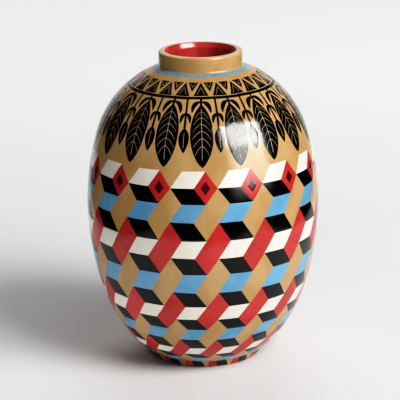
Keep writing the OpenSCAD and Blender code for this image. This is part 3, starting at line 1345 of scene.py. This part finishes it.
@dataclass(frozen=True)
class SoftBox:
    """A large soft lamp that either lights the vase or is only mirrored in its glaze, with angles in degrees.

    Azimuth and elevation say where it hangs, seen from the aim. Width and height are half of what it spans
    there. It faces the aim, or straight up if it lies flat.
    """

    name: str
    azimuth: float
    elevation: float
    roll: float
    distance: float
    width: float
    height: float
    radiance: float
    mirrored: bool = False
    flat: bool = False
    soft: Pair | None = None

    def build(self, aim: Vector) -> None:
        """Hangs the lamp.

        Args:
            aim: Point that its place is counted from.
        """
        lamp = bpy.data.lights.new(self.name, "AREA")
        lamp.shape = "RECTANGLE"
        lamp.size, lamp.size_y = (
            2 * self.distance * math.tan(math.radians(half)) for half in (self.width, self.height)
        )
        lamp.energy = self.radiance * math.pi * lamp.size * lamp.size_y
        azimuth, elevation = math.radians(self.azimuth), math.radians(self.elevation)
        level = math.cos(elevation)
        way = Vector((math.sin(azimuth) * level, -math.cos(azimuth) * level, math.sin(elevation)))
        back = Vector((0.0, 0.0, -1.0)) if self.flat else way
        roll = Quaternion((0.0, 0.0, 1.0), math.radians(self.roll))
        hung = into_scene(self.name, lamp)
        hung.location = aim + self.distance * way
        hung.rotation_mode = "QUATERNION"
        hung.rotation_quaternion = back.to_track_quat("Z", "Y") @ roll
        hung.visible_camera = False
        hung.visible_glossy = self.mirrored
        hung.visible_diffuse = not self.mirrored
        if self.soft:
            self.soften(lamp, *self.soft)

    @staticmethod
    def soften(lamp: bpy.types.AreaLight, sides: float, bottom: float) -> None:
        """Lets a lamp fade out towards its sides and its lower edge.

        Args:
            lamp: The lamp.
            sides: Share of half its width over which it fades.
            bottom: Share of its height over which it fades.
        """
        lamp.use_nodes = True
        kit = NodeKit(lamp.node_tree)
        place = kit.node("ShaderNodeNewGeometry").outputs["Parametric"]
        # Folded at half the width, so that it counts from the nearer side
        aside = kit.maths("PINGPONG", kit.axis(place, "X"), 0.5)
        across = kit.span(aside, (0.0, sides / 2), WHOLE)
        level = kit.maths("MULTIPLY", across, kit.span(kit.axis(place, "Y"), (0.0, bottom), WHOLE))
        kit.feed(kit.tree.nodes["Emission"].inputs["Strength"], level)


@dataclass
class Studio:
    """Pale table under one large soft lamp at the right front, with weak fills and a bright wall behind.

    Of all this, the glaze mirrors only the paper under the vase, the mirrored lamps and the wall. Behind the
    vase the floor glows, so that it fades into the pale room.
    """

    # Left, front, right and back edge of the paper
    paper: tuple[float, float, float, float] = (-0.62, -0.62, 0.672, 8.0)
    floor_half: float = 14.0
    floor_colour: Colour = (0.85, 0.85, 0.85)
    floor_rough: Pair = (0.85, 0.95)
    floor_shine: float = 0.1
    floor_marks_per_m: float = 400.0
    glow: float = 0.26
    glow_reach: Pair = (0.0, 1.8)
    room_level: float = 0.9
    wall_level: float = 0.95
    # Parts of a direction, to the back and up, over which the wall begins and ends
    wall_back: Pair = (0.72, 0.9)
    wall_top: Pair = (0.32, 0.52)
    aim: Triple = (0.0, 0.0, 0.25)
    # Azimuth, elevation, roll, distance, half width, half height and radiance of each lamp
    lamps: tuple[SoftBox, ...] = (
        SoftBox("key_wash", 51.5, 38, -33, 4.0, 16, 14, 11.0),
        SoftBox("front_fill", 40, 60, 0, 8.0, 20, 20, 1.0),
        SoftBox("low_fill", -5, 18, 0, 10.0, 22, 10, 0.85),
        SoftBox("table_bounce", -62, -27, 0, 0.545, 33, 33, 0.34, flat=True),
        SoftBox("back_fill", 180, 50, 0, 6.0, 20, 20, 1.7),
        SoftBox("back_low", 180, 28, 0, 8.0, 20, 12, 1.0),
        SoftBox("key_core", 51, 34.5, -13, 28.0, 21, 14, 19.0, mirrored=True, soft=(0.08, 0.5)),
        SoftBox("key_spill", 51, 13, 0, 26.0, 27, 19, 9.0, mirrored=True, soft=(0.6, 0.5)),
    )
    # Points of the view's tone curve after its start at black
    tones: tuple[Pair, ...] = ((0.05, 0.022), (0.2, 0.155), (0.5, 0.5), (0.75, 0.77), (1.0, 0.93))

    def add_floor(self, name: str, corners: list[Pair], faces: list, mirrored: bool) -> None:
        """Lays part of the floor, which isn't part of the vase.

        Args:
            name: Name of the part.
            corners: Its corners on the floor.
            faces: Lists of corner numbers.
            mirrored: Whether the glaze mirrors it.
        """
        mesh = bpy.data.meshes.new(name)
        mesh.from_pydata([(*corner, 0.0) for corner in corners], [], faces)
        shader = Shader(name)
        tooth = shader.marks(self.floor_marks_per_m, detail=COARSE)
        shader.wear({
            "Base Color": self.floor_colour,
            "Roughness": shader.span(tooth, MOST, self.floor_rough),
            "Specular IOR Level": self.floor_shine,
            "Emission Color": (1.0, 1.0, 1.0),
            "Emission Strength": shader.span(
                shader.axis(shader.place, "Y"), self.glow_reach, (0.0, self.glow)
            ),
        })
        mesh.materials.append(shader.material)
        floor = into_scene(name, mesh)
        floor.visible_glossy = mirrored

    def build_floor(self) -> None:
        """Lays the paper under the vase and the rest of the floor round it."""
        left, front, right, back = self.paper
        half = self.floor_half
        inner = [(left, front), (right, front), (right, back), (left, back)]
        outer = [(-half, -half), (half, -half), (half, half), (-half, half)]
        self.add_floor("paper", inner, [(0, 1, 2, 3)], True)
        sides = [(k, (k + 1) % 4, 4 + (k + 1) % 4, 4 + k) for k in range(4)]
        self.add_floor("floor", outer + inner, sides, False)

    def build_room(self) -> None:
        """Sets the room's light: pale to the camera, otherwise dark but for a wall behind the vase."""
        world = bpy.data.worlds.new("room")
        world.use_nodes = True
        kit = NodeKit(world.node_tree)
        kit.tree.nodes.clear()
        way = kit.node("ShaderNodeTexCoord").outputs["Generated"]
        behind = kit.span(kit.axis(way, "Y"), self.wall_back, (0.0, self.wall_level))
        below_top = kit.span(kit.axis(way, "Z"), self.wall_top, (1.0, 0.0))
        wall = kit.maths("MULTIPLY", behind, below_top)
        seen = kit.node("ShaderNodeLightPath").outputs["Is Camera Ray"]
        pale = kit.node("ShaderNodeMix", {"Factor": seen, "A": wall, "B": self.room_level})
        light = kit.node("ShaderNodeBackground", {"Strength": pale.outputs["Result"]})
        kit.node("ShaderNodeOutputWorld", {"Surface": light.outputs["Background"]})
        bpy.context.scene.world = world

    def set_contrast(self) -> None:
        """Sets plain colours with the deeper darks of a studio print."""
        view = bpy.context.scene.view_settings
        view.view_transform = "Standard"
        view.use_curve_mapping = True
        curve = view.curve_mapping.curves[COMBINED_CURVE]
        *between, last = self.tones
        curve.points[-1].location = last
        for point in between:
            curve.points.new(*point)
        view.curve_mapping.update()

    def build(self) -> None:
        """Makes the floor, the room and the lamps, and sets the contrast."""
        self.build_floor()
        self.build_room()
        for lamp in self.lamps:
            lamp.build(Vector(self.aim))
        self.set_contrast()


@dataclass(frozen=True)
class PhotoCamera:
    """Camera at the photograph's place, a little above the vase and rolled by less than a degree."""

    place: Triple = (0.0, -2.2983, 0.8938)
    aim: Triple = (0.0, 0.0, 0.2025)
    roll: float = math.radians(-0.94)
    lens_mm: float = 165.8
    sensor_mm: float = 36.0
    shift: Pair = (-0.0072, 0.0031)
    sight: float = 100.0

    def build(self) -> None:
        """Sets the camera up."""
        data = bpy.data.cameras.new("photo_camera")
        data.lens, data.sensor_width = self.lens_mm, self.sensor_mm
        data.shift_x, data.shift_y = self.shift
        data.clip_end = self.sight
        camera = into_scene("photo_camera", data)
        camera.location = self.place
        camera.rotation_mode = "QUATERNION"
        look = (Vector(self.aim) - Vector(self.place)).to_track_quat("-Z", "Y")
        camera.rotation_quaternion = look @ Quaternion((0.0, 0.0, 1.0), self.roll)
        bpy.context.scene.camera = camera


def main() -> None:
    """Builds the camera, the studio and the vase's pieces in order."""
    logging.basicConfig(level=logging.INFO, format="%(name)s %(message)s")
    noise.seed_set(SEED)
    PhotoCamera().build()
    Studio().build()
    wall = VaseWall()
    ClayBody().dress()
    GlazeCoats(wall).build()
    BlockLattice(wall, random.Random(SEED)).build()
    LeafFrieze(wall, random.Random(SEED + 1)).build()


if __name__ == "__main__":
    main()
